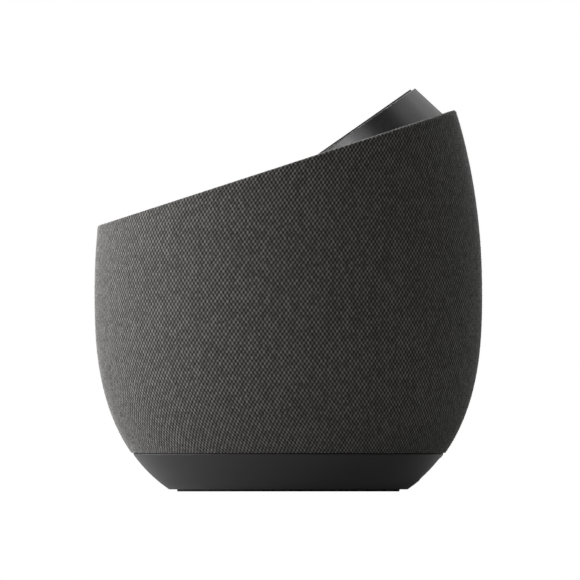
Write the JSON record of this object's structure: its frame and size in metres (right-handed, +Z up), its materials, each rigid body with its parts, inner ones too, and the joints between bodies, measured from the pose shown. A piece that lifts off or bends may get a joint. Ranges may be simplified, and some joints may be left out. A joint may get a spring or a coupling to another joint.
{
  "type": "smart speaker",
  "caption": "Round fabric-covered smart speaker with a sloping top, a raised phone charging cradle, opposed woofers and a row of press keys.",
  "frame": {"origin": "on the ground under the middle of the body", "axes": "+Z up, -Y towards the front where the keys are, +X to the right when the front is looked at"},
  "size_m": [0.162, 0.162, 0.1688],
  "materials": {
    "fabric": "woven polyester, charcoal, fine pale flecks",
    "casing": "moulded, unseen inside",
    "base": "fine spark texture, satin",
    "deck": "fine spark texture, satin",
    "cradle": "satin, fine texture",
    "button": "satin with pale printed symbols",
    "rubber": "matt elastomer",
    "pad": "soft-touch silicone",
    "inlet": "moulded",
    "steel": "zinc plated",
    "aluminium": "extruded",
    "board": "green solder mask",
    "cone": "pressed pulp",
    "spider": "resin-dipped cloth",
    "ferrite": "sintered ferrite",
    "copper": "enamelled wire winding",
    "light": "diffusing light guide"
  },
  "bodies": {
    "speaker_body": {"fabric_sleeve": "fabric", "grille_shell": "casing", "base_bowl": "base", "foot_ring": "rubber", "dc_inlet": "inlet", "amplifier_board": "board", "amplifier_heatsink": "aluminium", "enclosure_tub": "casing", "enclosure_gasket": "rubber", "enclosure_lid": "casing", "top_deck": "deck", "cradle_wedge": "cradle", "charging_pad": "pad", "charging_coil": "copper", "ferrite_disc": "ferrite", "coil_carrier": "casing", "charger_board": "board", "main_board": "board", "shield_can": "steel", "button_board": "board", "light_pipe": "light", "microphone_left": "steel", "microphone_right": "steel", "fullrange_frame": "casing", "fullrange_surround": "rubber", "fullrange_magnet": "steel", "base_screw_1": "steel", "deck_screw_1": "steel", "base_screw_2": "steel", "deck_screw_2": "steel", "base_screw_3": "steel", "deck_screw_3": "steel", "base_screw_4": "steel", "deck_screw_4": "steel", "woofer_frame_left": "casing", "woofer_surround_left": "rubber", "woofer_spider_left": "spider", "woofer_magnet_left": "ferrite", "woofer_yoke_left": "steel", "woofer_frame_right": "casing", "woofer_surround_right": "rubber", "woofer_spider_right": "spider", "woofer_magnet_right": "ferrite", "woofer_yoke_right": "steel"},
    "mic_mute_key": {"mic_mute_button": "button"},
    "volume_down_key": {"volume_down_button": "button"},
    "play_pause_key": {"play_pause_button": "button"},
    "volume_up_key": {"volume_up_button": "button"},
    "pairing_key": {"pairing_button": "button"},
    "woofer_left_moving": {"woofer_cone_left": "cone"},
    "woofer_right_moving": {"woofer_cone_right": "cone"},
    "fullrange_moving": {"fullrange_cone": "cone"}
  },
  "joints": [
    {"name": "mic_mute_press", "type": "slide", "parent": "speaker_body", "child": "mic_mute_key", "axis": [0, 0.309, -0.9511], "range_m": [0, 0.0006], "stiffness_N_per_m": 1500},
    {"name": "volume_down_press", "type": "slide", "parent": "speaker_body", "child": "volume_down_key", "axis": [0, 0.309, -0.9511], "range_m": [0, 0.0006], "stiffness_N_per_m": 1500},
    {"name": "play_pause_press", "type": "slide", "parent": "speaker_body", "child": "play_pause_key", "axis": [0, 0.309, -0.9511], "range_m": [0, 0.0006], "stiffness_N_per_m": 1500},
    {"name": "volume_up_press", "type": "slide", "parent": "speaker_body", "child": "volume_up_key", "axis": [0, 0.309, -0.9511], "range_m": [0, 0.0006], "stiffness_N_per_m": 1500},
    {"name": "pairing_press", "type": "slide", "parent": "speaker_body", "child": "pairing_key", "axis": [0, 0.309, -0.9511], "range_m": [0, 0.0006], "stiffness_N_per_m": 1500},
    {"name": "woofer_left_stroke", "type": "slide", "parent": "speaker_body", "child": "woofer_left_moving", "axis": [-1, 0, 0], "range_m": [-0.004, 0.004], "stiffness_N_per_m": 1100, "deforming": ["woofer_surround_left", "woofer_spider_left"]},
    {"name": "woofer_right_stroke", "type": "slide", "parent": "speaker_body", "child": "woofer_right_moving", "axis": [1, 0, 0], "range_m": [-0.004, 0.004], "stiffness_N_per_m": 1100, "deforming": ["woofer_surround_right", "woofer_spider_right"]},
    {"name": "fullrange_stroke", "type": "slide", "parent": "speaker_body", "child": "fullrange_moving", "axis": [0, -1, 0], "range_m": [-0.0015, 0.0015], "stiffness_N_per_m": 1500, "deforming": ["fullrange_surround"]}
  ],
  "couplings": [
    {"joint": "woofer_right_stroke", "follows": "woofer_left_stroke", "ratio": 1}
  ]
}
